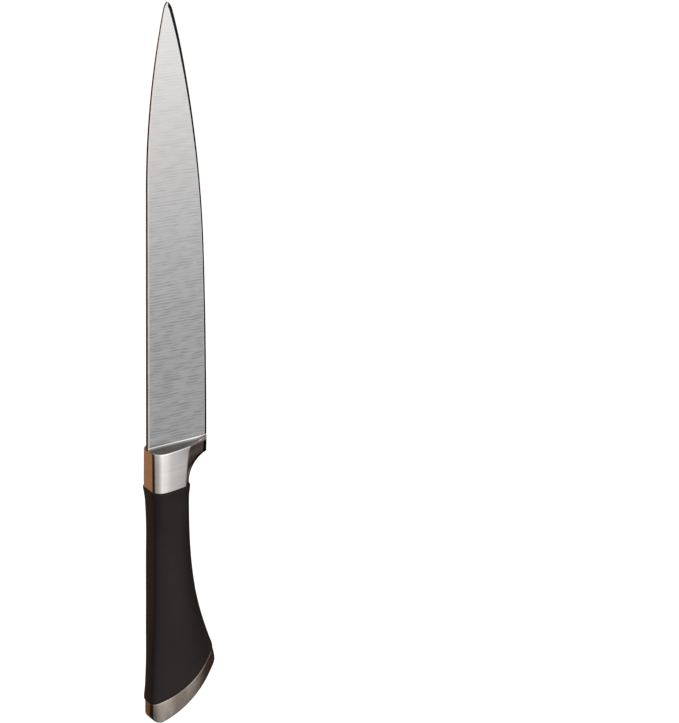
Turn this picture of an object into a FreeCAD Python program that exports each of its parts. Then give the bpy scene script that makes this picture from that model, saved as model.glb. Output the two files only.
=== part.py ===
"""Kitchen knife with a forged bolster, a soft black grip and a steel butt cap.

Millimetres. The knife is drawn tip up in its own drawing frame:
  X  from the blade's spine (x = 0) towards the cutting edge
  Y  through the thickness, with the mid-plane at y = 0
  Z  along the spine, towards the tip
Each piece is then moved so that the row's origin is the middle of the flat that
lies against a magnetic rack: RACK_X from the spine, on the blade's +Y flank.
"""
import FreeCAD, Part
import math
import os
from FreeCAD import Vector

# ---- blade -------------------------------------------------------------------
BLADE_BASE_Z = -57.6          # where the ground blade meets the bolster, at the spine
HEEL_X = 30.3                 # blade width at the heel
HEEL_RISE = 2.2               # the blade's base line is this much higher at the heel
EDGE_LEAN = 0.0063            # angle of the cutting edge to the spine at the heel, radians
EDGE_ARCS = [                 # (radius, height where the arc ends) from heel to tip
    (2600.0, 30.0),
    (540.0, 120.0),
    (270.0, 139.5),
    (6.5, 142.7),
]
SPINE_STRAIGHT_Z = 62.0       # the spine is straight up to here
SPINE_ARCS = [                # and then curves towards the edge, up to the tip
    (375.0, 139.5),
    (6.5, 142.7),
]
SPINE_HALF = 1.1              # half the spine's thickness at the bolster
WIDTH_TAPER = 0.0255          # loss of half thickness per mm towards the edge
LENGTH_TAPER = 0.0016         # loss of half thickness per mm towards the tip
BEVEL_ANGLE = 16.0            # degrees each side, the sharpened edge
BEVEL_REACH = 4.0             # how far the bevel's cutter reaches into the blade
TAB_X = (3.0, 16.0)           # tab that sits in the bolster's front slot
TAB_DEPTH = 5.4
TAB_HALF = 0.6                # it is thinner than the blade, which rests on the bolster all round it

# ---- handle outline ----------------------------------------------------------
COLLAR_Z = -77.5              # joint between the bolster and the grip
WALL = 2.0                    # thickness of the grip and of the cap's wall
# Each station: height, x of the spine face's corners, belly x, half width of the spine face,
# half thickness at the fullest place, half thickness at the crease before the belly, and
# how far the spine face swells between its corners: flat at the bolster, round at the butt.
STATIONS = [
    (-77.5, 0.5, 20.7, 4.4, 7.2, 5.0, 0.0),
    (-92.0, 1.4, 20.7, 4.6, 7.4, 5.1, 0.05),
    (-112.0, 1.5, 21.7, 4.8, 7.8, 5.3, 0.1),
    (-132.0, 1.5, 24.6, 4.8, 8.1, 5.4, 0.2),
    (-150.0, 1.3, 29.7, 4.5, 8.1, 5.2, 0.4),
    (-166.0, 1.1, 34.8, 4.2, 7.8, 4.8, 0.8),
    (-181.0, 1.0, 36.3, 4.0, 7.4, 4.5, 1.5),
    (-195.0, 1.3, 36.4, 3.8, 7.1, 4.4, 1.7),
]
FULLEST = 0.30                # where the section is thickest, as a part of its width
CREASE = 0.87                 # where the flank turns into the belly
COLLAR_SPINE_X = STATIONS[0][1]
COLLAR_WIDTH = STATIONS[0][2] - COLLAR_SPINE_X
FULLEST_X = COLLAR_SPINE_X + FULLEST * COLLAR_WIDTH
CREASE_X = COLLAR_SPINE_X + CREASE * COLLAR_WIDTH
LIP_PROUD = 0.45              # the grip's front lip stands this proud of the bolster
LIP_LENGTH = 6.0

# ---- butt --------------------------------------------------------------------
BUTT_CENTRE = (-25.6, -124.0)  # centre of the butt's large curve
BUTT_RADIUS = 75.5            # on the mid-plane
BUTT_DOME_RADIUS = 30.0       # the butt is domed across the knife's thickness
BUTT_OVERRUN = 0.3            # the corners' arcs meet the dome at a slight angle
BUTT_RING_RADIUS = 30.0       # inside of the ring that holds the dome, clear of the handle
SPINE_CORNER = (-0.6, 4.5)    # x of the side, and radius, of the corner at the spine
HOOK_CORNER = (34.8, 5.0)     # the same for the hook behind the little finger
BUTT_SPLIT_Z = -160.0         # the rounded butt outline is used below this height
JOINT_CENTRE = (-20.4, -114.7)  # centre of the curved joint between grip and cap
JOINT_RADIUS = 72.1
JOINT_TOP_Z = -150.0

# ---- bolster -----------------------------------------------------------------
LEDGE_Z = -59.0               # the bolster's full section ends here, below the blade
LEDGE_HEEL_RISE = 0.9
HEEL_LOW_Z = -63.9            # lower corner of the heel
HEEL_HALF = 1.2               # half thickness of the bolster at the heel
SCOOP_RADIUS = 14.8           # finger scoop
SCOOP_X = 36.1                # the scoop's centre is level with the collar
SCOOP_SECTIONS = 6
WEB_ROOT_X = CREASE_X - 8.0   # the heel's web starts inside the bolster's body
WEB_ROOT_HALF = 3.0

# ---- tang and its fastening --------------------------------------------------
TANG_X = 10.7                 # centre line
TANG_WIDTH = 9.0
TANG_THICKNESS = 3.2
TANG_TOP_Z = -67.5
TANG_SHOULDER_Z = -150.0
STUD_RADIUS = 2.0             # M4 threaded end, drawn at its nominal size
STUD_END_Z = -167.0
SEAT_Z = -160.0               # the washer bears on the cores here
POCKET_RADIUS = 4.7
POCKET_END_Z = -195.0
WASHER_RADIUS = 4.5
WASHER_THICKNESS = 0.8
NUT_ACROSS_FLATS = 7.0
NUT_HEIGHT = 3.2
DOWEL_RADIUS = 2.0
DOWEL_LENGTH = 9.0
DOWEL_Z = (-95.0, -135.0)

# ---- frame -------------------------------------------------------------------
RACK_X = 14.3
RACK_Z = 0.0

SPAN = 60.0                   # half width of the cutting blocks, larger than any section
UP = Vector(0, 0, 1)
ACROSS = Vector(0, 1, 0)


def half_thickness(x, z):
    """Half the thickness of the ground blade: each flank is one plane."""
    return SPINE_HALF - WIDTH_TAPER * x - LENGTH_TAPER * (z - BLADE_BASE_Z)


def flank_normal(side):
    """Outward normal of the blade's flank on the +Y (side 1) or -Y (side -1) side."""
    return Vector(WIDTH_TAPER, side, LENGTH_TAPER).normalize()


def point(x, z, y=0.0):
    return Vector(x, y, z)


def slab(outline, half):
    """Extrude a wire in the XZ plane to both sides of the mid-plane."""
    face = Part.Face(outline)
    face.translate(Vector(0, -half, 0))
    return face.extrude(Vector(0, 2 * half, 0))


def arc_on(centre, radius, from_angle, to_angle):
    """Arc in the XZ plane between two angles, in degrees from +X towards +Z."""
    angles = [from_angle, (from_angle + to_angle) / 2, to_angle]
    ends = []
    for angle in angles:
        turn = math.radians(angle)
        ends.append(point(centre[0] + radius * math.cos(turn), centre[1] + radius * math.sin(turn)))
    return Part.Arc(*ends).toShape()


def tangent_arcs(start, lean, arcs, side):
    """Tangent arcs up a curve whose centres lie on one side of it: -1 spine side, 1 edge side.

    Returns a list of (edge, centre of the arc). lean is the start's angle to Z, in radians.
    """
    at = start
    pieces = []
    for radius, end_z in arcs:
        centre = at + Vector(side * math.cos(lean), 0, -math.sin(lean)) * radius
        end_lean = math.asin((end_z - centre.z) / radius)
        middle = (lean + end_lean) / 2
        through = centre + Vector(-side * math.cos(middle), 0, math.sin(middle)) * radius
        end = centre + Vector(-side * math.cos(end_lean), 0, math.sin(end_lean)) * radius
        pieces.append((Part.Arc(at, through, end).toShape(), centre))
        at = end
        lean = end_lean
    return pieces


def ends(arc):
    """Start and end of an arc, as the points it was drawn from and to."""
    first = arc.valueAt(arc.FirstParameter)
    last = arc.valueAt(arc.LastParameter)
    return (first, last) if first.z < last.z else (last, first)


def bevel_cutter(arc, centre):
    """Ring sectors that grind both sides of one arc of the edge to the bevel angle."""
    start, end = ends(arc)
    out = (start - centre).normalize()
    depth = min(BEVEL_REACH, start.distanceToPoint(centre))
    reach = depth * math.tan(math.radians(BEVEL_ANGLE))
    sector = math.degrees((start - centre).getAngle(end - centre))
    solids = []
    for side in (1, -1):
        corners = [
            start,
            start - out * depth + ACROSS * side * reach,
            start - out * depth + ACROSS * side * SPAN / 10,
            start + out + ACROSS * side * SPAN / 10,
            start + out,
        ]
        face = Part.Face(Part.makePolygon(corners + corners[:1]))
        solids.append(face.revolve(centre, -ACROSS, sector))
    return solids


def make_blade():
    """Ground blade: two plane flanks, a bevel along the edge and a tab into the bolster."""
    heel = point(HEEL_X, BLADE_BASE_Z + HEEL_RISE)
    edge = tangent_arcs(heel, EDGE_LEAN, EDGE_ARCS, -1)
    spine = tangent_arcs(point(0, SPINE_STRAIGHT_Z), 0.0, SPINE_ARCS, 1)
    base = [point(0, SPINE_STRAIGHT_Z), point(0, BLADE_BASE_Z), heel]
    outline = [arc for arc, _ in edge + spine]
    outline.append(Part.makeLine(ends(edge[-1][0])[1], ends(spine[-1][0])[1]))
    for first, second in zip(base, base[1:]):
        outline.append(Part.makeLine(first, second))
    blade = slab(Part.Wire(Part.__sortEdges__(outline)), SPINE_HALF + 1)

    for side in (1, -1):
        grind = Part.makeBox(8 * SPAN, 8 * SPAN, SPAN, Vector(-4 * SPAN, -4 * SPAN, 0))
        grind.Placement = FreeCAD.Placement(
            point(0, BLADE_BASE_Z, side * SPINE_HALF),
            FreeCAD.Rotation(UP, flank_normal(side)),
        )
        blade = blade.cut(grind)
    for arc, centre in edge:
        for cutter in bevel_cutter(arc, centre):
            blade = blade.cut(cutter)
    tab_x, tab_end_x = TAB_X
    tab = Part.makeBox(tab_end_x - tab_x, 2 * TAB_HALF, TAB_DEPTH + HEEL_RISE,
                       Vector(tab_x, -TAB_HALF, BLADE_BASE_Z - TAB_DEPTH))
    return blade.removeSplitter().fuse(tab)


def section(station, inset=0.0):
    """Closed section of the handle: spine face, two full flanks and a round belly."""
    z, spine_x, belly_x, face_half, full_half, crease_half, swell = station
    width = belly_x - spine_x
    corner = (spine_x + inset, face_half - inset * 0.6)
    fullest = (spine_x + FULLEST * width, full_half - inset)
    crease = (spine_x + CREASE * width - inset * 0.6, crease_half - inset * 0.8)
    nose = belly_x - inset
    left = [point(x, z, y) for x, y in (corner, fullest, crease)]
    right = [point(x, z, -y) for x, y in (corner, fullest, crease)]
    if swell:
        face = Part.Arc(right[0], point(spine_x + inset - swell, z), left[0]).toShape()
    else:
        face = Part.makeLine(right[0], left[0])
    return Part.Wire([
        face,
        Part.Arc(*left).toShape(),
        Part.Arc(left[2], point(nose, z), right[2]).toShape(),
        Part.Arc(*reversed(right)).toShape(),
    ])


def handle_form(inset):
    """The handle's smooth outer form, or the form inside its wall."""
    return Part.makeLoft([section(station, inset) for station in STATIONS], True)


def butt_corner(side_x, radius, outward):
    """Centre of a corner arc inside the butt's curve, and its angle where they meet."""
    centre_x, centre_z = BUTT_CENTRE
    dx = side_x - outward * radius - centre_x
    dz = -math.sqrt((BUTT_RADIUS + BUTT_OVERRUN - radius) ** 2 - dx ** 2)
    return (centre_x + dx, centre_z + dz), math.degrees(math.atan2(dz, dx))


def butt_dome(inset):
    """Ring about the butt's centre; its rim is round across the knife's thickness."""
    centre_x, centre_z = BUTT_CENTRE
    half = BUTT_DOME_RADIUS - inset
    root = centre_x + BUTT_RADIUS - BUTT_DOME_RADIUS
    inner = centre_x + BUTT_RING_RADIUS
    rim = Part.Arc(point(root, centre_z, -half), point(root + half, centre_z), point(root, centre_z, half))
    sides = Part.makePolygon([point(root, centre_z, half), point(inner, centre_z, half),
                              point(inner, centre_z, -half), point(root, centre_z, -half)])
    profile = Part.Face(Part.Wire([rim.toShape()] + sides.Edges))
    return profile.revolve(point(*BUTT_CENTRE), ACROSS, 360)


def butt_region(inset):
    """Everything above the rounded end of the butt, as a block to intersect with."""
    spine_centre, spine_angle = butt_corner(*SPINE_CORNER, -1)
    hook_centre, hook_angle = butt_corner(*HOOK_CORNER, 1)
    arcs = [
        arc_on(spine_centre, SPINE_CORNER[1] - inset, -180.0, spine_angle),
        arc_on(BUTT_CENTRE, BUTT_RADIUS + BUTT_OVERRUN - inset, spine_angle, hook_angle),
        arc_on(hook_centre, HOOK_CORNER[1] - inset, hook_angle, 0.0),
    ]
    low_left = arcs[0].valueAt(arcs[0].FirstParameter)
    low_right = arcs[2].valueAt(arcs[2].LastParameter)
    top_left = point(low_left.x, BUTT_SPLIT_Z)
    top_right = point(low_right.x, BUTT_SPLIT_Z)
    sides = [
        Part.makeLine(low_right, top_right),
        Part.makeLine(top_right, top_left),
        Part.makeLine(top_left, low_left),
    ]
    rounded = slab(Part.Wire(arcs + sides), SPAN).common(butt_dome(inset))
    above = Part.makeBox(2 * SPAN, 2 * SPAN, 3 * SPAN, Vector(-SPAN, -SPAN, BUTT_SPLIT_Z))
    return rounded.fuse(above)


def cap_zone():
    """The space on the butt's side of the curved joint between grip and cap."""
    block = Part.makeBox(2 * SPAN, 2 * SPAN, SPAN, Vector(-SPAN, -SPAN, JOINT_TOP_Z - SPAN))
    disc = Part.makeCylinder(JOINT_RADIUS, 2 * SPAN, point(*JOINT_CENTRE, -SPAN), ACROSS)
    return block.cut(disc)


def front_lip():
    """Raised lip where the grip butts against the bolster."""
    z, spine_x, belly_x, face_half, full_half, crease_half, swell = STATIONS[0]
    proud = (z, spine_x - LIP_PROUD, belly_x + LIP_PROUD, face_half + LIP_PROUD,
             full_half + LIP_PROUD, crease_half + LIP_PROUD, swell)
    faded = (z - LIP_LENGTH, spine_x + LIP_PROUD, belly_x - LIP_PROUD, face_half, full_half,
             crease_half, swell)
    return Part.makeLoft([section(proud), section(faded)], True, True)


def on_base(x, y, z, rise):
    """Point on a level that starts at height z at the spine and rises towards the heel."""
    return point(x, z + rise * x / HEEL_X, y)


def bolster_outline(z, rise, spine_x, halves, crowned):
    """Outline round the blade's foot; halves are the half thicknesses at the spine face,
    the fullest place, the crease and the heel. Its flanks are arcs if crowned, else flat."""
    rim = []
    for side in (1, -1):
        places = zip((spine_x, FULLEST_X, CREASE_X, HEEL_X), halves)
        corner, fullest, crease, heel = [on_base(x, side * half, z, rise) for x, half in places]
        flank = Part.Arc(corner, fullest, crease).toShape() if crowned else Part.makeLine(corner, crease)
        rim.append((corner, crease, heel, flank))
    left, right = rim
    return Part.Wire([
        Part.makeLine(right[0], left[0]),
        left[3],
        Part.makeLine(left[1], left[2]),
        Part.makeLine(left[2], right[2]),
        Part.makeLine(right[2], right[1]),
        right[3].reversed(),
    ])


def web_section(z, rise, reach):
    """Section of the web from inside the body, past the crease, out to the heel or scoop."""
    left = [
        on_base(WEB_ROOT_X, WEB_ROOT_HALF, z, rise),
        on_base(CREASE_X, STATIONS[0][5], z, rise),
        on_base(reach, HEEL_HALF, z, rise),
    ]
    right = [Vector(corner.x, -corner.y, corner.z) for corner in reversed(left)]
    return Part.makePolygon(left + right + left[:1])


def scoop_reach(z):
    """How far the scooped web reaches towards the edge at one height."""
    return SCOOP_X - math.sqrt(SCOOP_RADIUS ** 2 - (z - COLLAR_Z) ** 2)


def heel_web():
    """Web from the bolster's body out to the heel, hollowed by the finger scoop."""
    scooped = []
    for step in range(SCOOP_SECTIONS + 1):
        z = HEEL_LOW_Z + (COLLAR_Z - HEEL_LOW_Z) * step / SCOOP_SECTIONS
        scooped.append(web_section(z, 0.0, scoop_reach(z)))
    at_ledge = web_section(LEDGE_Z, LEDGE_HEEL_RISE, HEEL_X)
    upper = Part.makeLoft([at_ledge, scooped[0]], True, True)
    lower = Part.makeLoft(scooped, True)
    return upper.fuse(lower)


def make_bolster(blade, tang):
    """Body in line with the handle, sloping ledge round the blade's foot, and heel web."""
    body = Part.Face(section(STATIONS[0])).extrude(UP * (LEDGE_Z - COLLAR_Z))
    lower_halves = STATIONS[0][3:6] + (HEEL_HALF,)
    upper_halves = [half_thickness(x, BLADE_BASE_Z) for x in (0.0, FULLEST_X, CREASE_X, HEEL_X)]
    lower_rim = bolster_outline(LEDGE_Z, LEDGE_HEEL_RISE, COLLAR_SPINE_X, lower_halves, True)
    upper_rim = bolster_outline(BLADE_BASE_Z, HEEL_RISE, 0.0, upper_halves, False)
    ledge = Part.makeLoft([lower_rim, upper_rim], True, True)
    bolster = body.fuse([ledge, heel_web()]).removeSplitter()
    return bolster.cut(blade).cut(tang)


def make_tang():
    """Flat bar welded into the bolster, with a threaded end for the nut."""
    bar = Part.makeBox(TANG_WIDTH, TANG_THICKNESS, TANG_TOP_Z - TANG_SHOULDER_Z,
                       Vector(TANG_X - TANG_WIDTH / 2, -TANG_THICKNESS / 2, TANG_SHOULDER_Z))
    stud = Part.makeCylinder(STUD_RADIUS, TANG_SHOULDER_Z - STUD_END_Z, point(TANG_X, STUD_END_Z), UP)
    return bar.fuse(stud)


def make_dowels():
    """Two dowels that pass through the tang and locate the core halves."""
    dowels = []
    for z in DOWEL_Z:
        dowels.append(Part.makeCylinder(DOWEL_RADIUS, DOWEL_LENGTH, point(TANG_X, z, -DOWEL_LENGTH / 2), ACROSS))
    return Part.makeCompound(dowels)


def make_washer():
    """Plain washer that spreads the nut's pull over both cores."""
    base = point(TANG_X, SEAT_Z - WASHER_THICKNESS)
    disc = Part.makeCylinder(WASHER_RADIUS, WASHER_THICKNESS, base, UP)
    return disc.cut(Part.makeCylinder(STUD_RADIUS, WASHER_THICKNESS, base, UP))


def make_nut():
    """Hexagon nut on the tang's threaded end."""
    z = SEAT_Z - WASHER_THICKNESS - NUT_HEIGHT
    across_corners = NUT_ACROSS_FLATS / math.cos(math.radians(30))
    corners = []
    for side in range(7):
        turn = math.radians(60 * side)
        corners.append(Vector(TANG_X + across_corners / 2 * math.cos(turn),
                              across_corners / 2 * math.sin(turn), z))
    prism = Part.Face(Part.makePolygon(corners)).extrude(UP * NUT_HEIGHT)
    return prism.cut(Part.makeCylinder(STUD_RADIUS, NUT_HEIGHT, point(TANG_X, z), UP))


def make_cores(space, tang, dowels):
    """The two moulded halves that fill the grip and the cap around the tang."""
    pocket = Part.makeCylinder(POCKET_RADIUS, SEAT_Z - POCKET_END_Z, point(TANG_X, POCKET_END_Z), UP)
    core = space.cut(pocket).cut(tang).cut(dowels)
    halves = {}
    for name, start in (("core_left", -SPAN), ("core_right", 0.0)):
        side = Part.makeBox(2 * SPAN, SPAN, 3 * SPAN, Vector(-SPAN, start, -3.5 * SPAN))
        halves[name] = core.common(side)
    return halves


def main():
    blade = make_blade()
    dowels = make_dowels()
    bar = make_tang()
    bolster = make_bolster(blade, bar)
    handle = handle_form(0.0).fuse(front_lip()).common(butt_region(0.0))
    inside = handle_form(WALL).common(butt_region(WALL))
    zone = cap_zone()
    shell = handle.cut(inside)
    parts = {
        "blade": blade,
        "bolster": bolster,
        "tang": bar.cut(dowels),
        "core_dowels": dowels,
        "tang_washer": make_washer(),
        "tang_nut": make_nut(),
        "grip_sleeve": shell.cut(zone),
        "butt_cap": shell.common(zone),
    }
    parts.update(make_cores(inside, bar, dowels))

    to_origin = point(-RACK_X, -RACK_Z, -half_thickness(RACK_X, RACK_Z))
    os.makedirs("parts", exist_ok=True)
    for name, shape in parts.items():
        shape.translate(to_origin)
        shape.exportStep("parts/" + name + ".step")
        print(name, "valid", shape.isValid(), "solids", len(shape.Solids), "volume", round(shape.Volume, 1))


main()
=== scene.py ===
"""Looks of the kitchen knife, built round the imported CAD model.

Shapes are worked out in millimetres: x from the blade's spine towards the edge, y from the
knife's mid-plane, z as in the row frame. finish_piece() turns them into metres in the row frame.
"""
import math

import bmesh
import bpy
import numpy as np
from mathutils import Matrix, Vector


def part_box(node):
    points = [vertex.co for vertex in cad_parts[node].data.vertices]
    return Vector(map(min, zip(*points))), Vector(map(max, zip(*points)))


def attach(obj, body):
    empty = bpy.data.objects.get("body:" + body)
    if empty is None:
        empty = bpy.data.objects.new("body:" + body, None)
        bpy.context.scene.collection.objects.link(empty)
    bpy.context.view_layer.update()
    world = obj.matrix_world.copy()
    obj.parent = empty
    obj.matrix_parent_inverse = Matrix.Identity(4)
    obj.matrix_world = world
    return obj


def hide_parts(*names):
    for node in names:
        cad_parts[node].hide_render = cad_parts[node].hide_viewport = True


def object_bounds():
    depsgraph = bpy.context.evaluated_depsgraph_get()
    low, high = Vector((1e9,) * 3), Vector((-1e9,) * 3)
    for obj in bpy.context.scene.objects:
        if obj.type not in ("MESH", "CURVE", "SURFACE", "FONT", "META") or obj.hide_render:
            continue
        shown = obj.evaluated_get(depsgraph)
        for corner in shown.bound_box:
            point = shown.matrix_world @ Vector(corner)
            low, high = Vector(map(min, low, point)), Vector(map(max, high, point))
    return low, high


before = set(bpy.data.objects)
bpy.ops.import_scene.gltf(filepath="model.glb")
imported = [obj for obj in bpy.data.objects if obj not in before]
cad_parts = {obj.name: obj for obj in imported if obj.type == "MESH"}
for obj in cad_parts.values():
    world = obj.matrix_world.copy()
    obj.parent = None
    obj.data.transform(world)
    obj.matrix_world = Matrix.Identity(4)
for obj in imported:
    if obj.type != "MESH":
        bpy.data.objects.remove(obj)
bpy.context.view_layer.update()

MM = 0.001

# ---- places read from the CAD model, in mm -----------------------------------
blade_low, blade_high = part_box("blade")
SPINE_X = blade_low.x / MM                           # row x of the blade's spine
MID_Y = (blade_low.y + blade_high.y) / 2 / MM        # row y of the knife's mid-plane
TIP = blade_high.z / MM
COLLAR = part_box("bolster")[0].z / MM                 # joint between bolster and grip
HEEL_X = blade_high.x / MM - SPINE_X                 # blade width at the heel
BASE = COLLAR + 19.9                                 # foot of the ground blade, at the spine
BASE_RISE = 2.2                                      # it is this much higher at the heel
LEDGE = COLLAR + 18.6                                # rim of the bolster's ledge
LEDGE_RISE = 0.9
HEEL_LOW = COLLAR + 13.6

# ---- blade ---------------------------------------------------------------------
EDGE_LEAN = 0.0063
EDGE_ARCS = [(2600.0, TIP - 112.7), (540.0, TIP - 22.7), (270.0, TIP - 3.2), (6.5, TIP)]
SPINE_STRAIGHT = TIP - 80.7
SPINE_ARCS = [(375.0, TIP - 3.2), (6.5, TIP)]
BEVEL_SLOPE = math.tan(math.radians(16))
SPINE_HALF = 1.1                                     # half the spine's thickness at the bolster
WIDTH_TAPER, LENGTH_TAPER = 0.0255, 0.0016           # loss of half thickness per mm across and along
SPINE_EASE = (0.34, 0.14, 0.7)    # rounding of the spine's corner: most, share of width and of thickness
EASED_RIM = (0.32, 0.06)          # strip beside it and beside the bevel, painted lighter as a highlight: most, share of width
BASE_LIFT_LENGTH = 30.0           # the blade's rows are slanted at its foot and level from here up

# ---- handle --------------------------------------------------------------------
# depth below the collar, x of the spine face's corners, belly x, half spine face, fullest half,
# half at the crease, swell of the spine face between its corners
STATIONS = np.array([
    (0.0, 0.5, 20.7, 4.4, 7.2, 5.0, 0.0),
    (14.5, 1.4, 20.7, 4.6, 7.4, 5.1, 0.05),
    (34.5, 1.5, 21.7, 4.8, 7.8, 5.3, 0.1),
    (54.5, 1.5, 24.6, 4.8, 8.1, 5.3, 0.2),
    (72.5, 1.3, 29.7, 4.5, 8.1, 4.8, 0.4),
    (88.5, 1.1, 34.8, 4.2, 7.8, 3.9, 0.6),
    (103.5, 0.65, 36.3, 4.5, 7.4, 3.4, 0.55),
    (117.5, 0.75, 36.4, 4.5, 7.1, 3.2, 0.6),
])
FULLEST = 0.30
CREASE = 0.87
# The bolster's flank is fullest nearer the spine: part of the width, half thickness.
COLLAR_FLANK = np.array([(0.0, 4.4), (0.09, 6.55), (0.23, 7.6), (0.42, 7.2), (0.66, 6.15), (0.87, 5.0)])
# The belly is fuller at the front than at the butt.
NOSE_DEPTHS, NOSE_FULLNESS = (50.0, 88.0), (0.62, 0.5)
COLLAR_SHAPE_ENDS = 26.0                             # the grip has its own flank from here down

BUTT_CENTRE = (-25.6, COLLAR - 46.5)
BUTT_RADIUS = 75.85
BUTT_DOME_RADIUS = 60.0                              # the butt is domed across the knife's thickness
SPINE_CORNER = (0.2, 4.0)
HOOK_CORNER = (34.8, 4.0)
JOINT_CENTRE = (-20.4, COLLAR - 37.2)
JOINT_RADIUS = 72.1
WALL = 1.9
GRIP_LOW_X = -0.59                                   # the rear lip is cut flat here
FRONT_LIP_ENDS, REAR_LIP_STARTS = 6.0, 8.0           # below the collar, and above the cap's joint
TABLE_STEP = 0.5                                     # between the sections that are worked out

# Points in half a section: spine face, its corner, flank, crease, belly.
N_FACE, N_CORNER, N_FLANK, N_CREASE, N_NOSE = 7, 6, 22, 5, 9


def half_thickness(x, z):
    """Half thickness of the ground blade; each flank is one plane."""
    return SPINE_HALF - WIDTH_TAPER * x - LENGTH_TAPER * (z - BASE)


# ==== mesh helpers ==============================================================
def finish_piece(name, verts, faces, materials, face_materials, node, sharp_deg=38.0):
    """Makes a closed, smooth-shaded piece in the row frame that stands for one CAD node."""
    mesh = bpy.data.meshes.new(name)
    points = (np.asarray(verts, float) + np.array([SPINE_X, MID_Y, 0.0])) * MM
    mesh.from_pydata(points.tolist(), [], faces)
    for material in materials:
        mesh.materials.append(material)
    mesh.polygons.foreach_set("material_index", face_materials)
    bm = bmesh.new()
    bm.from_mesh(mesh)
    bmesh.ops.remove_doubles(bm, verts=bm.verts, dist=2e-7)
    bmesh.ops.dissolve_degenerate(bm, edges=bm.edges, dist=1e-7)
    bmesh.ops.recalc_face_normals(bm, faces=bm.faces)
    bm.to_mesh(mesh)
    bm.free()
    mesh.shade_smooth()
    mesh.set_sharp_from_angle(angle=math.radians(sharp_deg))
    piece = bpy.data.objects.new(name, mesh)
    bpy.context.scene.collection.objects.link(piece)
    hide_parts(node)
    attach(piece, "root")
    return piece


def grid_faces(rows, columns, start=0):
    """Quads between closed rows of points that are stored one row after another."""
    faces = []
    for r in range(rows - 1):
        for c in range(columns):
            a = start + r * columns + c
            b = start + r * columns + (c + 1) % columns
            faces.append((a, b, b + columns, a + columns))
    return faces


def mirror_loop(half):
    """Closed loop from half of it, given from y = 0 at the spine to y = 0 at the belly."""
    other = half[1:-1][::-1] * np.array([1.0, -1.0] + [1.0] * (half.shape[1] - 2))
    return np.vstack([half, other])


def bezier(a, corner, b, count):
    """Points that round off a corner, from a to b, without the two ends."""
    t = np.linspace(0, 1, count + 2)[1:-1, None]
    return (1 - t) ** 2 * a + 2 * t * (1 - t) * corner + t ** 2 * b


def through_three(p, q, r, count):
    """Points on the circle arc from p through q to r, ends included."""
    (ax, ay), (bx, by), (cx, cy) = p, q, r
    d = 2 * (ax * (by - cy) + bx * (cy - ay) + cx * (ay - by))
    ux = ((ax**2 + ay**2) * (by - cy) + (bx**2 + by**2) * (cy - ay) + (cx**2 + cy**2) * (ay - by)) / d
    uy = ((ax**2 + ay**2) * (cx - bx) + (bx**2 + by**2) * (ax - cx) + (cx**2 + cy**2) * (bx - ax)) / d
    start, middle, end = [math.atan2(y - uy, x - ux) for x, y in (p, q, r)]
    middle = start + (middle - start + math.pi) % (2 * math.pi) - math.pi
    end = middle + (end - middle + math.pi) % (2 * math.pi) - math.pi
    turn = np.linspace(start, end, count)
    radius = math.hypot(ax - ux, ay - uy)
    return np.c_[ux + radius * np.cos(turn), uy + radius * np.sin(turn)]


def smooth_curve(x, xs, ys):
    """Natural cubic spline through (xs, ys), at the places x."""
    n = len(xs)
    h = np.diff(xs)
    a = np.zeros((n, n))
    b = np.zeros((n,) + np.shape(ys)[1:])
    a[0, 0] = a[-1, -1] = 1.0
    for i in range(1, n - 1):
        a[i, i - 1:i + 2] = h[i - 1], 2 * (h[i - 1] + h[i]), h[i]
        b[i] = 3 * ((ys[i + 1] - ys[i]) / h[i] - (ys[i] - ys[i - 1]) / h[i - 1])
    c = np.linalg.solve(a, b)
    k = np.clip(np.searchsorted(xs, x) - 1, 0, n - 2)
    t, hk = x - xs[k], h[k]
    if np.ndim(ys) > 1:
        t, hk = np.expand_dims(t, -1), np.expand_dims(hk, -1)
    slope = (ys[k + 1] - ys[k]) / hk - hk * (2 * c[k] + c[k + 1]) / 3
    return ys[k] + slope * t + c[k] * t**2 + (c[k + 1] - c[k]) / (3 * hk) * t**3


# ==== blade =====================================================================
def arc_curve(x, z, lean, arcs, side):
    """x(z) along tangent arcs that bend towards the spine (side -1) or the edge (1)."""
    pieces = []
    for radius, end in arcs:
        cx, cz = x + side * math.cos(lean) * radius, z - math.sin(lean) * radius
        pieces.append((z, end, cx, cz, radius))
        lean = math.asin(min(1.0, (end - cz) / radius))
        x, z = cx - side * math.cos(lean) * radius, end

    def curve(at):
        for low, high, cx, cz, radius in pieces:
            if at <= high or high == pieces[-1][1]:
                level = max(at, low) if low > pieces[0][0] else at
                across = math.sqrt(max(0.0, radius**2 - (level - cz)**2))
                return cx - side * across, (level - cz) / radius

    return curve


edge_curve = arc_curve(HEEL_X, BASE + BASE_RISE, EDGE_LEAN, EDGE_ARCS, -1)
spine_curve = arc_curve(0.0, SPINE_STRAIGHT, 0.0, SPINE_ARCS, 1)


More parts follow.
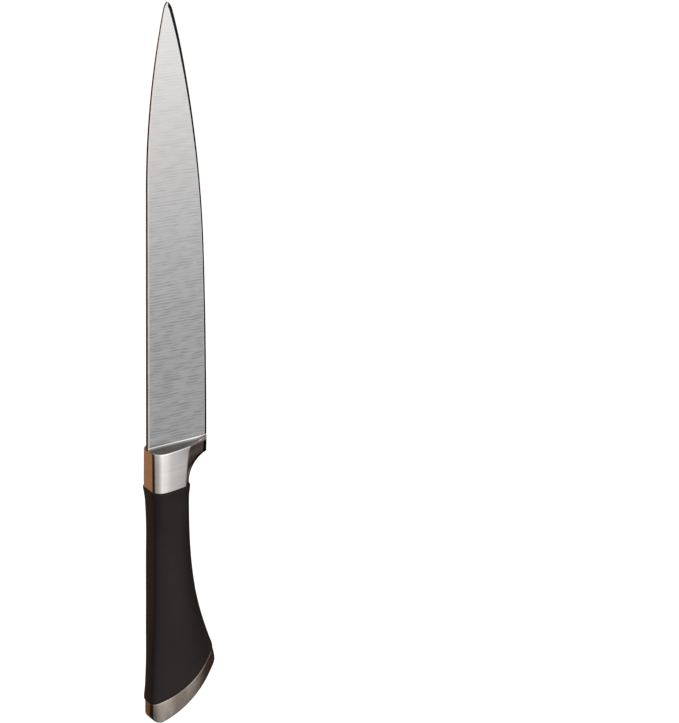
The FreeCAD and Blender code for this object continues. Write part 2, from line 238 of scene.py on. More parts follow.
def blade_half(z):
    """Half section of the blade from the spine's middle to the edge, with a material per span."""
    edge_x, sine = edge_curve(z)
    spine_x = spine_curve(z)[0] if z > SPINE_STRAIGHT else 0.0
    lean = math.sqrt(max(0.05, 1 - sine**2))
    reach = half_thickness(edge_x, z) / BEVEL_SLOPE / lean
    bevel_x = max(edge_x - reach, spine_x + 0.45 * (edge_x - spine_x))
    room = bevel_x - spine_x
    half = half_thickness(spine_x, z)
    ease = min(SPINE_EASE[0], SPINE_EASE[1] * room, SPINE_EASE[2] * half)
    rim = min(EASED_RIM[0], EASED_RIM[1] * room)
    points = [(spine_x, 0.0), (spine_x, half - ease)]
    top = np.array([spine_x + ease * 1.5, half_thickness(spine_x + ease * 1.5, z)])
    points += bezier(np.array(points[1]), np.array([spine_x, half]), top, 3).tolist()
    points.append(tuple(top))
    for x in np.linspace(top[0] + rim, bevel_x - rim * 0.7, 8):
        points.append((x, half_thickness(x, z)))
    points.append((bevel_x, half_thickness(bevel_x, z)))
    points.append((edge_x, 0.0))
    return np.array(points)


def make_blade(materials):
    """Ground blade; materials are the spine's (painted shade), two rims' (painted highlight), the flank's
    (painted lighter towards the tip) and the bevel's (painted shade).
    """
    levels = [BASE - 1.2, BASE + 0.5, BASE + 2.0, BASE + 4.0]
    levels += np.arange(BASE + 8.0, TIP - 26.0, 4.0).tolist()
    levels += np.linspace(TIP - 24.0, TIP - 3.6, 12).tolist()
    levels += (TIP - 3.2 * (1 - np.linspace(0, 1, 13))**2).tolist()
    verts = []
    for z in levels:
        loop = mirror_loop(blade_half(z))
        slant = BASE_RISE / HEEL_X * max(0.0, 1 - (z - BASE) / BASE_LIFT_LENGTH)
        lift = np.clip(loop[:, 0], 0, HEEL_X) * min(slant, BASE_RISE / HEEL_X)
        verts += np.c_[loop, z + lift].tolist()
    columns = len(loop)
    faces = grid_faces(len(levels), columns)
    # Spans: the spine face (painted shade), its rounded corner and the strip beside it (painted highlight),
    # the flank, the strip beside the bevel (painted highlight), the bevel (painted shade).
    half_spans = [0] + [1] * 4 + [2] + [3] * 7 + [2] + [4]
    spans = half_spans + half_spans[::-1]
    index = [spans[i % columns] for i in range(len(faces))]
    faces.append(tuple(range(columns))[::-1])
    faces.append(tuple((len(levels) - 1) * columns + i for i in range(columns)))
    index += [0, 0]
    return finish_piece("blade_ground", verts, faces, materials, index, "blade", 11.0)


# ==== handle form ===============================================================
def flank_curve(station, crease_x):
    """Flank from the spine corner to the crease."""
    depth, spine_x, belly_x, face, full, crease, _ = station
    width = belly_x - spine_x
    corner, turn = (spine_x, face), (crease_x, crease)
    arc = through_three(corner, (spine_x + FULLEST * width, full), turn, 40)
    share = np.clip(1 - depth / COLLAR_SHAPE_ENDS, 0, 1)
    share = share * share * (3 - 2 * share)
    if share > 0:
        place = (arc[:, 0] - spine_x) / (crease_x - spine_x) * CREASE
        shaped = smooth_curve(place, COLLAR_FLANK[:, 0], COLLAR_FLANK[:, 1])
        arc[:, 1] += share * (shaped - arc[:, 1])
    return arc


def along(curve, start, end, count, crowd=1.0):
    """Points on a polyline, between two distances from its ends; crowd above 1 packs the start."""
    steps = np.hypot(*np.diff(curve, axis=0).T)
    length = np.r_[0, np.cumsum(steps)]
    at = start + (length[-1] - end - start) * np.linspace(0, 1, count)**crowd
    return np.c_[np.interp(at, length, curve[:, 0]), np.interp(at, length, curve[:, 1])]


def half_section(depth, corner_ease, crease_ease, crease_x=None, nose=None, nose_crowd=1.0):
    """Half section of the handle at a depth below the collar."""
    station = smooth_curve(np.array(depth), STATIONS[:, 0], STATIONS)
    spine_x, belly_x, face, crease, swell = station[[1, 2, 3, 5, 6]]
    if crease_x is None:
        crease_x = spine_x + CREASE * (belly_x - spine_x)
    flank = flank_curve(station, crease_x)
    if nose is None:
        fullness = np.interp(depth, NOSE_DEPTHS, NOSE_FULLNESS)
        ends = np.array([(crease_x, crease), (belly_x, crease * fullness), (belly_x, 0.0)])
        nose = np.vstack([ends[0], bezier(*ends, 40), ends[2]])
    body = along(flank, corner_ease, crease_ease, N_FLANK, 1.5)
    tail = along(nose[::-1], 0.0, crease_ease, N_NOSE, nose_crowd)[::-1]
    across = np.linspace(0, face - corner_ease, N_FACE)
    front = np.c_[spine_x - swell * (1 - (across / face)**2), across]
    return np.vstack([
        front,
        bezier(front[-1], np.array([spine_x, face]), body[0], N_CORNER),
        body,
        bezier(body[-1], np.array([crease_x, crease]), tail[0], N_CREASE),
        tail,
    ])


def outward(loop):
    """Outward normals of a closed loop that runs from the spine over +y to the belly."""
    step = np.roll(loop, -1, axis=0) - np.roll(loop, 1, axis=0)
    normal = np.c_[-step[:, 1], step[:, 0]]
    return normal / np.linalg.norm(normal, axis=1)[:, None]


TABLE_DEPTHS = np.arange(0.0, 119.0, TABLE_STEP)


def form_table(corner_ease, crease_ease):
    """The handle's form for one piece: its sections' points and outward normals."""
    loops = [mirror_loop(half_section(d, corner_ease, crease_ease)) for d in TABLE_DEPTHS]
    return np.array(loops), np.array([outward(loop) for loop in loops])


GRIP_FORM = form_table(1.7, 1.6)
CAP_FORM = form_table(2.8, 1.6)
LOOP = GRIP_FORM[0].shape[1]
HALF_COUNT = LOOP // 2 + 1


def on_form(form, depths, proud=0.0):
    """Points of every column of the handle's form, each at its own depth below the collar."""
    depths = np.broadcast_to(depths, (LOOP,))
    at = np.clip(depths / TABLE_STEP, 0, len(TABLE_DEPTHS) - 1.001)
    low = at.astype(int)
    part = (at - low)[:, None]
    column = np.arange(LOOP)
    loops, normals = form
    place = loops[low, column] * (1 - part) + loops[low + 1, column] * part
    normal = normals[low, column] * (1 - part) + normals[low + 1, column] * part
    place = place + normal * np.broadcast_to(proud, (LOOP,))[:, None]
    return np.c_[place, COLLAR - depths]


def solve_depth(form, inside, low, high):
    """Depth on each column where the handle's form leaves a region."""
    low = np.full(LOOP, low)
    high = np.full(LOOP, high)
    for _ in range(40):
        middle = (low + high) / 2
        within = inside(on_form(form, middle))
        low = np.where(within, middle, low)
        high = np.where(within, high, middle)
    return (low + high) / 2


def in_joint_disc(points):
    return (points[:, 0] - JOINT_CENTRE[0])**2 + (points[:, 2] - JOINT_CENTRE[1])**2 < JOINT_RADIUS**2


def joint_depth(form):
    """Depth of the curved joint between grip and cap on each column."""
    return solve_depth(form, in_joint_disc, 70.0, 117.0)


def corner_centre(side_x, radius, side):
    dx = side_x + side * radius - BUTT_CENTRE[0]
    return BUTT_CENTRE[0] + dx, BUTT_CENTRE[1] - math.sqrt((BUTT_RADIUS - radius)**2 - dx**2)


def butt_surface(x, y, inset=0.0):
    """Height of the domed butt under each (x, y), and the normal of its outline there."""
    x = np.clip(x, SPINE_CORNER[0] + inset + 0.06, HOOK_CORNER[0] - inset - 0.02)
    inset = inset + y**2 / (2 * BUTT_DOME_RADIUS)
    cx, cz = BUTT_CENTRE
    big = BUTT_RADIUS - inset
    z = cz - np.sqrt(big**2 - (x - cx)**2)
    nx, nz = (x - cx) / big, (z - cz) / big
    for (side_x, radius), side in ((SPINE_CORNER, 1), (HOOK_CORNER, -1)):
        ax, az = corner_centre(side_x, radius, side)
        turn_x = cx + BUTT_RADIUS * (ax - cx) / (BUTT_RADIUS - radius)
        beyond = x < turn_x if side == 1 else x > turn_x
        small = radius - inset
        dx = np.clip(x - ax, -0.99 * small, 0.99 * small)
        corner_z = az - np.sqrt(small**2 - dx**2)
        z = np.where(beyond, corner_z, z)
        nx = np.where(beyond, dx / small, nx)
        nz = np.where(beyond, (corner_z - az) / small, nz)
    return z, nx, nz


def rear_lip(columns_x):
    """How proud the grip's rear lip stands on each column: most on the spine side."""
    return 0.26 + 0.12 * np.clip(1 - columns_x / 4.5, 0, 1)


# (depth below the collar, how proud) down the front lip, and (height above the joint, share of
# the rear lip's height) down the rear lip.
FRONT_LIP = [(0.0, -WALL), (0.0, -0.3), (0.0, 0.12), (0.07, 0.33), (0.28, 0.46), (0.7, 0.5), (1.5, 0.43),
             (2.8, 0.27), (4.3, 0.11), (FRONT_LIP_ENDS, 0.0)]
REAR_LIP = [(6.2, 0.10), (4.6, 0.38), (3.0, 0.78), (1.7, 1.0), (0.8, 0.92), (0.3, 0.62), (0.08, 0.2)]
JOINT_GAP = 0.02                                     # between the grip or the cap and their joint


def make_grip(material):
    """Moulded sleeve with a raised lip at each end."""
    def on_grip(depths, proud=0.0):
        return on_form(GRIP_FORM, depths, proud)

    joint = joint_depth(GRIP_FORM)
    rows = [on_grip(depth, proud) for depth, proud in FRONT_LIP]
    for share in np.linspace(0, 1, 30)[1:]:
        rows.append(on_grip(FRONT_LIP_ENDS + (joint - REAR_LIP_STARTS - FRONT_LIP_ENDS) * share))
    lip = rear_lip(rows[-1][:, 0])
    for above, height in REAR_LIP:
        rows.append(on_grip(joint - above, lip * height))
    rows.append(on_grip(joint - JOINT_GAP, -0.35))
    rows.append(on_grip(joint - JOINT_GAP, -WALL))
    for share in np.linspace(1, 0, 16)[1:-1]:
        rows.append(on_grip(joint * share, -WALL))
    verts = np.vstack(rows)
    verts[:, 0] = np.maximum(verts[:, 0], GRIP_LOW_X)
    faces = grid_faces(len(rows), LOOP)
    last = (len(rows) - 1) * LOOP
    faces += [(last + c, last + (c + 1) % LOOP, (c + 1) % LOOP, c) for c in range(LOOP)]
    return finish_piece("grip_moulded", verts, faces, [material], [0] * len(faces),
                        "grip_sleeve", 50.0)


CAP_RIM = [(0.02, -0.4), (0.04, -0.12), (0.10, -0.04), (0.25, -0.01), (0.9, 0.0)]  # (below the joint, proud)


def unit(vectors):
    return vectors / np.linalg.norm(vectors, axis=1)[:, None]


def cap_surface(inset, joint, fillet):
    """Rows of points down the cap, from the joint over the rounded rim to the domed butt."""
    def clipped(row):
        row[:, 0] = np.minimum(row[:, 0], HOOK_CORNER[0] - inset)
        return row

    rim = solve_depth(CAP_FORM, lambda p: p[:, 2] > butt_surface(p[:, 0], p[:, 1], inset)[0], 70.0, 118.4)
    rows = []
    outside = inset == 0
    if outside:
        rows += [on_form(CAP_FORM, joint + below, proud) for below, proud in CAP_RIM]
    start = joint + (CAP_RIM[-1][0] if outside else JOINT_GAP)
    edge = clipped(on_form(CAP_FORM, rim, -inset))
    edge[:, 2], nx, nz = butt_surface(edge[:, 0], edge[:, 1], inset)
    down = np.c_[nx, np.zeros(LOOP), nz]
    side = np.c_[outward(edge[:, :2]), np.zeros(LOOP)]
    lean = np.sum(down * side, axis=1)[:, None]
    ease = (fillet * (0.6 + 0.4 * np.abs(side[:, 1])))[:, None]
    top = edge + unit(lean * side - down) * ease
    bottom = edge + unit(lean * down - side) * ease
    bottom[:, 2] = butt_surface(bottom[:, 0], bottom[:, 1], inset)[0]
    shares = np.linspace(0, 1, 12)[1:-1] if outside else np.linspace(0, 1, 4)[:-1]
    for share in shares:
        row = clipped(on_form(CAP_FORM, start + (rim - start) * share, -inset))
        rows.append(row + (top - edge) * share**3)
    for u in np.linspace(0, 1, 8 if outside else 3):
        rows.append((1 - u)**2 * top + 2 * u * (1 - u) * edge + u**2 * bottom)
    return rows


def close_butt(rim_row, inset, first):
    """Grid across the butt between mirrored points of the rim: extra points and faces.

    A face's corners are numbers in the rim row, or (number,) for one of the extra points.
    """
    verts, faces = [], []
    face_y = rim_row[:N_FACE, 1] / max(rim_row[N_FACE - 1, 1], 1e-6)
    spread = np.r_[-face_y[::-1], face_y[1:]]
    across = len(spread)
    nose = [(LOOP - k) % LOOP for k in range(N_FACE - 1, 0, -1)] + list(range(N_FACE))
    nose_points = rim_row[nose]
    previous = [first + k for k in nose]
    for k in range(N_FACE, HALF_COUNT - 1):
        goal = np.c_[np.full(across, rim_row[k, 0]), rim_row[k, 1] * spread]
        for stage in ((0.25, 0.5, 0.75, 1.0) if k == N_FACE else (1.0,)):
            place = nose_points[:, :2] * (1 - stage) + goal * stage
            height = butt_surface(place[:, 0], place[:, 1], inset)[0]
            current = []
            for j in range(1, across - 1):
                verts.append((place[j, 0], place[j, 1], height[j]))
                current.append((len(verts) - 1,))
            sides = (first + LOOP - k, first + k) if stage == 1.0 else (previous[0], previous[-1])
            current = [sides[0]] + current + [sides[1]]
            for j in range(across - 1):
                corners = (previous[j], previous[j + 1], current[j + 1], current[j])
                faces.append(tuple(dict.fromkeys(corners)))
            previous = current
    end = first + HALF_COUNT - 1
    for j in range(across - 1):
        faces.append((previous[j], previous[j + 1], end))
    return verts, faces


def make_cap(material):
    """Hollow cap: an outer and an inner surface, joined at the rim."""
    joint = joint_depth(CAP_FORM)
    verts = np.zeros((0, 3))
    faces, starts = [], []
    for inset, fillet in ((0.0, 0.7), (WALL, 0.3)):
        rows = cap_surface(inset, joint, fillet)
        starts.append(len(verts))
        faces += grid_faces(len(rows), LOOP, starts[-1])
        extra, closing = close_butt(rows[-1], inset, starts[-1] + (len(rows) - 1) * LOOP)
        verts = np.vstack([verts] + rows)
        for face in closing:
            faces.append(tuple(i[0] + len(verts) if isinstance(i, tuple) else i for i in face))
        verts = np.vstack([verts, np.array(extra)])
    outer, inner = starts
    faces += [(outer + c, outer + (c + 1) % LOOP, inner + (c + 1) % LOOP, inner + c) for c in range(LOOP)]
    return finish_piece("cap_shell", verts, faces, [material], [0] * len(faces),
                        "butt_cap", 50.0)


# ==== bolster ===================================================================
SCOOP_RADIUS, SCOOP_X = 14.8, 36.1                   # finger scoop, its centre level with the collar
RIM_EASE = 0.35                                      # rounding of the ledge's rim
WEB_THIN, WEB_THICK = 0.8, 1.0                       # half the web at the scoop and at the ledge
WEB_ROUND = 0.9                                      # length of its rounded outer edge
WEB_ROOT = 5.0                                       # half its thickness at the crease
SWEEP_RISE, SWEEP_HEEL_RISE = 0.5, 1.2               # the hollow sweep ends this far up the blade
SWEEP_SHARE = 0.75                                   # how much of the ledge's width is hollow
EDGE_COLUMNS = 4                                     # columns on each side of the web's thin edge
BOLSTER_TAPER = 0.03                                 # the bolster is this much thinner at its ledge
CREASE_PATH = np.array([(0.0, 17.7), (6.5, 18.1), (11.5, 18.3), (15.7, 18.7), (18.6, 19.8)])


def web_nose(crease_x, reach, slim):
    """Web of the heel in section: from the crease to the thin, rounded outer edge."""
    t = np.linspace(0, 1, 24)
    end_x = reach - WEB_ROUND
    x = crease_x + (end_x - crease_x) * t
    y = slim + (WEB_ROOT - slim) * (1 - t)
    turn = np.linspace(0, math.pi / 2, 8)[1:]
    tip = np.c_[end_x + WEB_ROUND * np.sin(turn), slim * np.cos(turn)]
    return np.vstack([np.c_[x, y], tip])


def make_bolster(material, ledge_with_painted_shade, dark_edge_painted_material):
    """Body with the scooped web up to the ledge's rim, and the ledge up to the blade's foot."""
    rows, levels = [], []
    heel_low, top = HEEL_LOW - COLLAR, LEDGE - COLLAR
    rim_low = top - RIM_EASE
    for turn in np.linspace(0, math.asin(heel_low / SCOOP_RADIUS), 15):
        levels.append((SCOOP_RADIUS * math.sin(turn), SCOOP_X - SCOOP_RADIUS * math.cos(turn)))
    for share in (0.25, 0.5, 0.75, 0.93, 1.0):
        levels.append((heel_low + (rim_low - heel_low) * share, HEEL_X))
    for height, reach in levels:
        crease_x = smooth_curve(np.array(height), CREASE_PATH[:, 0], CREASE_PATH[:, 1])
        share = height / top
        slim = WEB_THIN + (WEB_THICK - WEB_THIN) * share**3
        half = half_section(0.0, 1.15, 0.7, crease_x, web_nose(crease_x, reach, slim), 2.0)
        half[:, 1] *= 1 - BOLSTER_TAPER * share**2
        loop = mirror_loop(half)
        tilt = np.clip((height - heel_low) / (rim_low - heel_low), 0, 1)
        rows.append(np.c_[loop, COLLAR + height + tilt * LEDGE_RISE * loop[:, 0] / HEEL_X])
    body_rows = len(rows)

    # the ledge: a rounded rim, a gentle slope and a hollow fillet up to the blade
    rim = rows[-1]
    count = len(rim)
    half_count = count // 2 + 1
    foot_x = np.where(rim[:, 0] < 3.0, (rim[:, 0] - rim[0, 0]) * 3.0 / (3.0 - rim[0, 0]), rim[:, 0])
    foot_x = np.clip(foot_x, 0.0, HEEL_X - 0.02)
    foot_y = np.sign(rim[:, 1]) * np.minimum(np.abs(rim[:, 1]), half_thickness(foot_x, BASE) * 0.995)
    foot_z = BASE + SWEEP_RISE + SWEEP_HEEL_RISE * foot_x / HEEL_X
    run = np.hypot(rim[:, 0] - foot_x, rim[:, 1] - foot_y)
    hollow = SWEEP_SHARE * run
    step = np.c_[foot_x - rim[:, 0], foot_y - rim[:, 1]] / np.maximum(run, 1e-6)[:, None]
    rim_z = LEDGE + LEDGE_RISE * rim[:, 0] / HEEL_X
    ease = np.minimum(RIM_EASE, 0.3 * run)
    profile = []
    for turn in np.radians([30, 60, 90]):
        profile.append((ease * (1 - math.cos(turn)), rim_z - RIM_EASE * (1 - math.sin(turn))))
    sweep = np.minimum(hollow, foot_z - rim_z - 0.25)
    slope_top = foot_z - sweep
    for share in (0.33, 0.66, 1.0):
        profile.append((ease + (run - hollow - ease) * share, rim_z + (slope_top - rim_z) * share**1.3))
    for share in np.linspace(0, 1, 12)[1:]:
        profile.append((run - hollow * (1 - share)**3, slope_top + sweep * share**1.6))
    for reach, z in profile:
        place = rim[:, :2] + step * reach[:, None]
        row = np.c_[place, z]
        for sign in (1, -1):
            corner = N_FACE - 1 if sign == 1 else count - (N_FACE - 1)
            for k in range(N_FACE - 1):
                column = k if sign == 1 else (count - k) % count
                scale = rim[column, 1] / rim[corner, 1]
                row[column] = row[corner] * np.array([1.0, scale, 1.0])
        rows.append(row)
    faces = grid_faces(len(rows), count)
    ledge_start = (body_rows + 2) * count
    rim_columns = range(half_count - 1 - EDGE_COLUMNS, half_count - 1 + EDGE_COLUMNS)
    index = []
    for i in range(len(faces)):
        # Rim faces past the crease take the ledge's darker colour: painted shade.
        past_crease = rim[i % count, 0] > CREASE_PATH[-1, 1] and i >= ledge_start - 3 * count
        # The web's thin edge takes the near-black painted shade.
        on_painted_dark_edge = i % count in rim_columns and i < ledge_start - 4 * count
        index.append(1 if i >= ledge_start or past_crease else 2 if on_painted_dark_edge else 0)
    faces.append(tuple(range(count))[::-1])
    faces.append(tuple((len(rows) - 1) * count + i for i in range(count)))
    index += [0, 1]
    return finish_piece("bolster_polished", np.vstack(rows), faces, [material, ledge_with_painted_shade, dark_edge_painted_material],
                        index, "bolster", 35.0)


# ==== materials =================================================================
def new_material(name):
    material = bpy.data.materials.new(name)
    material.use_nodes = True
    tree = material.node_tree
    shader = tree.nodes["Principled BSDF"]
    return material, tree, shader


def streaks(tree, scale, detail=3.0):
    """Noise stretched by its scale along each axis of the row frame."""
    nodes, links = tree.nodes, tree.links
    place = nodes.new("ShaderNodeTexCoord")
    stretch = nodes.new("ShaderNodeMapping")
    stretch.inputs["Scale"].default_value = scale
    noise = nodes.new("ShaderNodeTexNoise")
    noise.inputs["Scale"].default_value = 1.0
    noise.inputs["Detail"].default_value = detail
    noise.inputs["Roughness"].default_value = 0.6
    links.new(place.outputs["Object"], stretch.inputs["Vector"])
    links.new(stretch.outputs["Vector"], noise.inputs["Vector"])
    return noise.outputs["Fac"]


def remap(tree, value, low, high, to_low, to_high):
    node = tree.nodes.new("ShaderNodeMapRange")
    for name, number in (("From Min", low), ("From Max", high), ("To Min", to_low), ("To Max", to_high)):
        node.inputs[name].default_value = number
    tree.links.new(value, node.inputs["Value"])
    return node.outputs["Result"]


def two_tone(tree, value, dark, light, low=0.35, high=0.65):
    ramp = tree.nodes.new("ShaderNodeValToRGB")
    first, last = ramp.color_ramp.elements
    first.position, first.color = low, (*dark, 1)
    last.position, last.color = high, (*light, 1)
    tree.links.new(value, ramp.inputs["Fac"])
    return ramp.outputs["Color"]


def blend(tree, mode, amount, first, second):
    node = tree.nodes.new("ShaderNodeMix")
    node.data_type = "RGBA"
    node.blend_type = mode
    node.inputs[0].default_value = amount
    tree.links.new(first, node.inputs[6])
    tree.links.new(second, node.inputs[7])
    return node.outputs[2]


def add_bump(tree, shader, height, strength, distance):
    bump = tree.nodes.new("ShaderNodeBump")
    bump.inputs["Strength"].default_value = strength
    bump.inputs["Distance"].default_value = distance
    tree.links.new(height, bump.inputs["Height"])
    tree.links.new(bump.outputs["Normal"], shader.inputs["Normal"])


def ripples(tree, colour, period, depth):
    """Darkens a colour in fine level lines, period mm apart, broken up into short stretches."""
    place = tree.nodes.new("ShaderNodeTexCoord")
    wave = tree.nodes.new("ShaderNodeTexWave")
    wave.wave_type = "BANDS"
    wave.bands_direction = "Z"
    for name, value in (("Scale", 2 * math.pi / (20 * period * MM)), ("Distortion", 3.0), ("Detail", 2.0),
                        ("Detail Scale", 0.8)):
        wave.inputs[name].default_value = value
    tree.links.new(place.outputs["Object"], wave.inputs["Vector"])
    lines = two_tone(tree, wave.outputs["Fac"], (1 - depth,) * 3, (1.0,) * 3, 0.1, 0.9)
    mixed = blend(tree, "MULTIPLY", 1.0, colour, lines)
    stretches = remap(tree, streaks(tree, (150, 150, 330), 1.0), 0.42, 0.62, 0.0, 1.0)
    tree.links.new(stretches, mixed.node.inputs[0])
    return mixed


def metal(name, dark, light, rough, grain, bump, fine=None, painted_gradient=None, glance=1.0, ripple=None):
    """Steel with a directional grain: grain is the noise scale along x, y and z, per metre.

    fade is (low z, high z, share, colour): a painted light or shade gradient; the colour takes over by that
    share up the knife.
    glance is how much light it throws back at glancing angles.
    ripple is (period, depth) of fine level grinding lines.
    """
    material, tree, shader = new_material(name)
    shader.inputs["Metallic"].default_value = 1.0
    shader.inputs["Specular Tint"].default_value = (glance, glance, glance, 1)
    lines = streaks(tree, grain)
    colour = two_tone(tree, lines, dark, light)
    if fine:
        scratches = streaks(tree, fine, 2.0)
        colour = blend(tree, "MULTIPLY", 0.6, colour, two_tone(tree, scratches, (0.8,) * 3, (1.0,) * 3))
    if ripple:
        colour = ripples(tree, colour, *ripple)
    # Painted light or shade: the colour blends towards another one up the knife.
    if painted_gradient:
        low_z, high_z, share, painted_colour = painted_gradient
        parts = tree.nodes.new("ShaderNodeSeparateXYZ")
        tree.links.new(tree.nodes.new("ShaderNodeTexCoord").outputs["Object"], parts.inputs["Vector"])
        amount = remap(tree, parts.outputs["Z"], low_z * MM, high_z * MM, 0.0, share)
        mix = tree.nodes.new("ShaderNodeMix")
        mix.data_type = "RGBA"
        mix.inputs[7].default_value = (*painted_colour, 1)
        tree.links.new(amount, mix.inputs[0])
        tree.links.new(colour, mix.inputs[6])
        colour = mix.outputs[2]
    tree.links.new(colour, shader.inputs["Base Color"])
    tree.links.new(remap(tree, lines, 0.3, 0.7, rough[0], rough[1]), shader.inputs["Roughness"])
    add_bump(tree, shader, lines, bump, 0.00005)
    return material


def rubber(name, dark, light, rough, grain, bump):
    material, tree, shader = new_material(name)
    shader.inputs["Specular IOR Level"].default_value = 0.22
    cloud = streaks(tree, (40, 40, 25), 3.0)
    tree.links.new(two_tone(tree, cloud, dark, light), shader.inputs["Base Color"])
    pores = streaks(tree, (grain,) * 3, 2.0)
    tree.links.new(remap(tree, pores, 0.3, 0.7, rough[0], rough[1]), shader.inputs["Roughness"])
    add_bump(tree, shader, pores, bump, 0.00004)
    return material


# Brushed steel flank with a painted light gradient: it is painted lighter towards the tip.
flank_painted_light = metal("blade_brushed_painted_light", (0.342, 0.345, 0.356), (0.398, 0.400, 0.406), (0.19, 0.26),
                    (110, 900, 2600), 0.08, (60, 900, 1900), (0, 140, 0.8, (0.56, 0.555, 0.55)), 1.0,
                    (1.35, 0.26))
# Eased rims: lighter than the flank, a painted highlight along the spine's corner and the bevel's shoulder.
painted_highlight_rims = metal("blade_eased_rim_painted_highlight", (0.46, 0.435, 0.425), (0.54, 0.515, 0.505), (0.22, 0.3),
                  (500, 500, 90), 0.05)
# Spine face: painted shade with a brown reflection, painted near black further up the blade; it throws back
# no light at glancing angles.
blade_spine_painted_shade = metal("blade_spine_painted_shade", (0.10, 0.082, 0.076), (0.15, 0.125, 0.118), (0.25, 0.4),
                    (900, 900, 120), 0.1, None, (BASE + 8, BASE + 45, 0.93, (0.012, 0.010, 0.009)), 0.0)
# Honed bevel: painted near black, a painted dark reflection along the edge.
bevel_painted_shade = metal("blade_honed_bevel_painted_dark", (0.012, 0.011, 0.011), (0.030, 0.027, 0.027), (0.25, 0.4),
                    (900, 900, 60), 0.1, None, None, 0.2)
# The scoop's thin edge: painted near black, a painted dark reflection; it throws back no light at glancing
# angles.
web_edge_painted_shade = metal("bolster_scoop_edge_painted_dark", (0.02, 0.016, 0.014), (0.04, 0.033, 0.03), (0.2, 0.3),
                 (300, 300, 300), 0.05, None, None, 0.0)
bolster_steel = metal("bolster_polished_steel", (0.74, 0.73, 0.72), (0.80, 0.79, 0.78), (0.09, 0.14),
                      (60, 60, 420), 0.02)
# Satin ledge with painted shade: darker at its rim, painted lighter up the fillet to the blade.
ledge_steel_painted_shade = metal("bolster_ledge_satin_painted_shade", (0.43, 0.415, 0.40), (0.50, 0.48, 0.465), (0.2, 0.28),
                    (120, 300, 300), 0.04, None, (LEDGE - 0.3, LEDGE + 1.9, 1.0, (0.66, 0.64, 0.62)))
cap_steel = metal("cap_satin_steel", (0.30, 0.252, 0.215), (0.50, 0.442, 0.395), (0.13, 0.22),
                  (90, 90, 50), 0.03, (260, 260, 160))
grip_rubber = rubber("grip_soft_rubber", (0.0062, 0.0045, 0.0041), (0.0094, 0.0068, 0.0062), (0.46, 0.56),
                     2600, 0.15)

make_blade([blade_spine_painted_shade, painted_highlight_rims, painted_highlight_rims, flank_painted_light, bevel_painted_shade])
make_bolster(bolster_steel, ledge_steel_painted_shade, web_edge_painted_shade)
make_grip(grip_rubber)
make_cap(cap_steel)

# The inner nodes keep their CAD shape and get their own finish.
nylon = rubber("core_nylon_moulded", (0.035, 0.034, 0.033), (0.06, 0.058, 0.055), (0.4, 0.55), 900, 0.2)
tang_steel = metal("tang_mill_finish", (0.36, 0.36, 0.37), (0.5, 0.5, 0.5), (0.35, 0.5), (200, 900, 40), 0.3)
zinc = metal("fastener_zinc", (0.5, 0.51, 0.53), (0.66, 0.66, 0.66), (0.25, 0.4), (500, 500, 500), 0.15)
INNER = {
    "core_left": nylon,
    "core_right": nylon,
    "tang": tang_steel,
    "core_dowels": tang_steel,
    "tang_washer": zinc,
    "tang_nut": zinc,
}
for node, material in INNER.items():
    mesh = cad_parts[node].data
    mesh.materials.clear()
    mesh.materials.append(material)

# ==== studio ====================================================================
FLOOR_DROP, HALF_FLOOR = 0.22, 7.0
floor_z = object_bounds()[0].z - FLOOR_DROP
floor_mesh = bpy.data.meshes.new("studio_floor")
corners = [(x * HALF_FLOOR, y * HALF_FLOOR, floor_z) for x, y in ((-1, -1), (1, -1), (1, 1), (-1, 1))]
floor_mesh.from_pydata(corners, [], [(0, 1, 2, 3)])
floor = bpy.data.objects.new("studio_floor", floor_mesh)
bpy.context.scene.collection.objects.link(floor)
floor_material, floor_tree, floor_shader = new_material("studio_floor_paper")
paper = two_tone(floor_tree, streaks(floor_tree, (3, 3, 3)), (0.95,) * 3, (0.97,) * 3)
floor_tree.links.new(paper, floor_shader.inputs["Base Color"])
floor_shader.inputs["Roughness"].default_value = 0.9
floor_mesh.materials.append(floor_material)
floor.visible_glossy = False

# What glossy surfaces reflect. Round the horizon: degrees from the front, -Y (0), towards the edge
# (+) or the spine (-), and colour. Over height: the direction's z and a factor.
AROUND = [
    (-180, (0.36, 0.180, 0.090)), (-130, (0.34, 0.170, 0.085)), (-121, (0.04, 0.02, 0.01)),
    (-82, (0.03, 0.02, 0.015)), (-71, (0.40, 0.36, 0.34)), (-58, (0.46, 0.435, 0.415)),
    (-44, (0.54, 0.52, 0.50)), (-14, (0.95, 0.93, 0.91)), (2, (1.05, 1.03, 1.01)),
    (18, (0.98, 0.96, 0.945)), (36, (0.92, 0.91, 0.90)), (48, (0.70, 0.69, 0.68)),
    (61, (0.55, 0.535, 0.53)), (68, (0.10, 0.072, 0.064)), (102, (0.07, 0.048, 0.04)),
    (110, (0.03, 0.02, 0.016)), (127, (0.03, 0.02, 0.016)), (132, (0.29, 0.28, 0.27)),
    (141, (0.29, 0.28, 0.27)), (146, (0.03, 0.02, 0.016)), (150, (0.03, 0.02, 0.016)),
    (155, (0.36, 0.180, 0.090)),
]
UP_DOWN = [
    (-1.0, 0.40), (-0.47, 0.72), (-0.376, 0.98), (-0.30, 1.04), (-0.21, 1.95), (-0.12, 2.2),
    (0.02, 1.5), (0.2, 1.0), (0.36, 0.7), (0.5, 0.52), (0.8, 0.45), (1.0, 0.42),
]
REFLECTED_STRENGTH = 2.5                             # the heights' factors are stored divided by this
PLAIN_STRENGTH = 1.08                                # all other rays see plain white
world = bpy.data.worlds.new("studio_world")
bpy.context.scene.world = world
world.use_nodes = True
tree = world.node_tree
nodes, links = tree.nodes, tree.links
nodes.clear()
parts = nodes.new("ShaderNodeSeparateXYZ")
links.new(nodes.new("ShaderNodeTexCoord").outputs["Generated"], parts.inputs["Vector"])
toward = nodes.new("ShaderNodeMath")
toward.operation = "MULTIPLY"
toward.inputs[1].default_value = -1.0
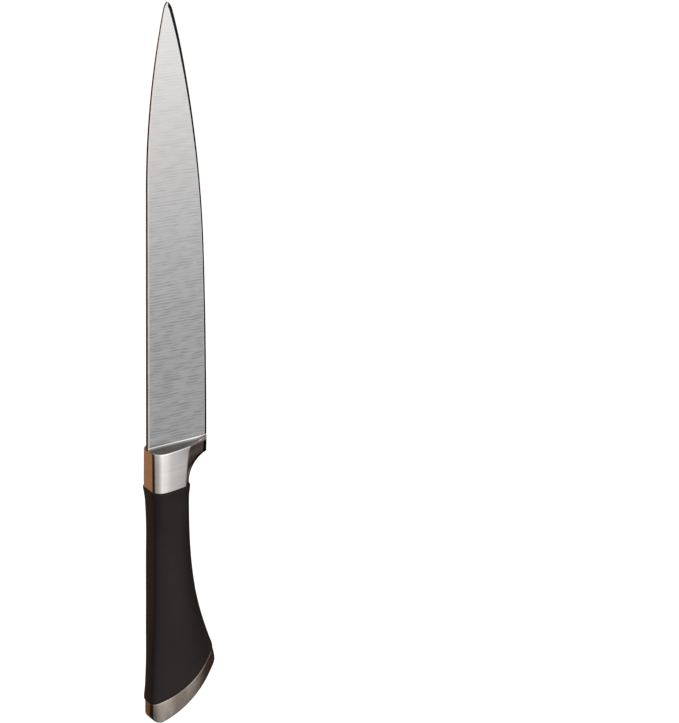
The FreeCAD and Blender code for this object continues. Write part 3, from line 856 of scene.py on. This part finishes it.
links.new(parts.outputs["Y"], toward.inputs[0])
azimuth = nodes.new("ShaderNodeMath")
azimuth.operation = "ARCTAN2"
links.new(parts.outputs["X"], azimuth.inputs[0])
links.new(toward.outputs["Value"], azimuth.inputs[1])


def stops(ramp, places):
    """Sets a colour ramp's stops from (place, colour) pairs."""
    elements = ramp.color_ramp.elements
    while len(elements) > 1:
        elements.remove(elements[-1])
    elements[0].position, elements[0].color = places[0][0], (*places[0][1], 1)
    for place, colour in places[1:]:
        elements.new(place).color = (*colour, 1)


around = nodes.new("ShaderNodeValToRGB")
stops(around, [((angle + 180) / 360, colour) for angle, colour in AROUND])
links.new(remap(tree, azimuth.outputs["Value"], -math.pi, math.pi, 0.0, 1.0), around.inputs["Fac"])
height = nodes.new("ShaderNodeValToRGB")
stops(height, [((z + 1) / 2, (factor / REFLECTED_STRENGTH,) * 3) for z, factor in UP_DOWN])
links.new(remap(tree, parts.outputs["Z"], -1.0, 1.0, 0.0, 1.0), height.inputs["Fac"])
lit = blend(tree, "MULTIPLY", 1.0, around.outputs["Color"], height.outputs["Color"])
ceiling = nodes.new("ShaderNodeMix")
ceiling.data_type = "RGBA"
links.new(remap(tree, parts.outputs["Z"], 0.3, 0.75, 0.0, 1.0), ceiling.inputs[0])
links.new(lit, ceiling.inputs[6])
ceiling.inputs[7].default_value = (0.175, 0.168, 0.163, 1)
reflected = nodes.new("ShaderNodeBackground")
reflected.inputs["Strength"].default_value = REFLECTED_STRENGTH
links.new(ceiling.outputs[2], reflected.inputs["Color"])
plain = nodes.new("ShaderNodeBackground")
plain.inputs["Color"].default_value = (1.0, 1.0, 1.0, 1)
plain.inputs["Strength"].default_value = PLAIN_STRENGTH
ray = nodes.new("ShaderNodeLightPath")
choose = nodes.new("ShaderNodeMixShader")
links.new(ray.outputs["Is Glossy Ray"], choose.inputs["Fac"])
links.new(plain.outputs["Background"], choose.inputs[1])
links.new(reflected.outputs["Background"], choose.inputs[2])
out = nodes.new("ShaderNodeOutputWorld")
links.new(choose.outputs["Shader"], out.inputs["Surface"])


def softbox(name, place, target, size, power):
    light = bpy.data.lights.new(name, "AREA")
    light.shape = "RECTANGLE"
    light.size, light.size_y = size
    light.energy = power
    holder = bpy.data.objects.new(name, light)
    aim = Vector(target) - Vector(place)
    holder.matrix_world = Matrix.Translation(place) @ aim.to_track_quat("-Z", "Y").to_matrix().to_4x4()
    bpy.context.scene.collection.objects.link(holder)
    holder.visible_glossy = False


softbox("softbox_front", (0.9, -1.5, 0.9), (0, 0, 0.0), (1.2, 1.2), 14)
softbox("softbox_left", (-1.6, -0.8, 0.6), (0, 0, -0.05), (0.8, 1.6), 8)

# The camera: where it stands, the direction it looks in, its right-hand side and its roll.
camera_data = bpy.data.cameras.new("camera")
camera = bpy.data.objects.new("camera", camera_data)
bpy.context.scene.collection.objects.link(camera)
forward = Vector((0.5060, 0.7944, -0.3360)).normalized()
right = Vector((0.8474, -0.5306, 0.0218)).normalized()
up = right.cross(forward)
roll = math.radians(0.17)
right = math.cos(roll) * right + math.sin(roll) * up
up = right.cross(forward)
turn = Matrix((right, up, -forward)).transposed().to_4x4()
camera.matrix_world = Matrix.Translation((-0.5007, -0.9221, 0.3564)) @ turn
camera_data.lens = 124.8
camera_data.sensor_width = 36.0
camera_data.clip_start, camera_data.clip_end = 0.02, 60.0
bpy.context.scene.camera = camera
bpy.context.scene.view_settings.view_transform = "Standard"
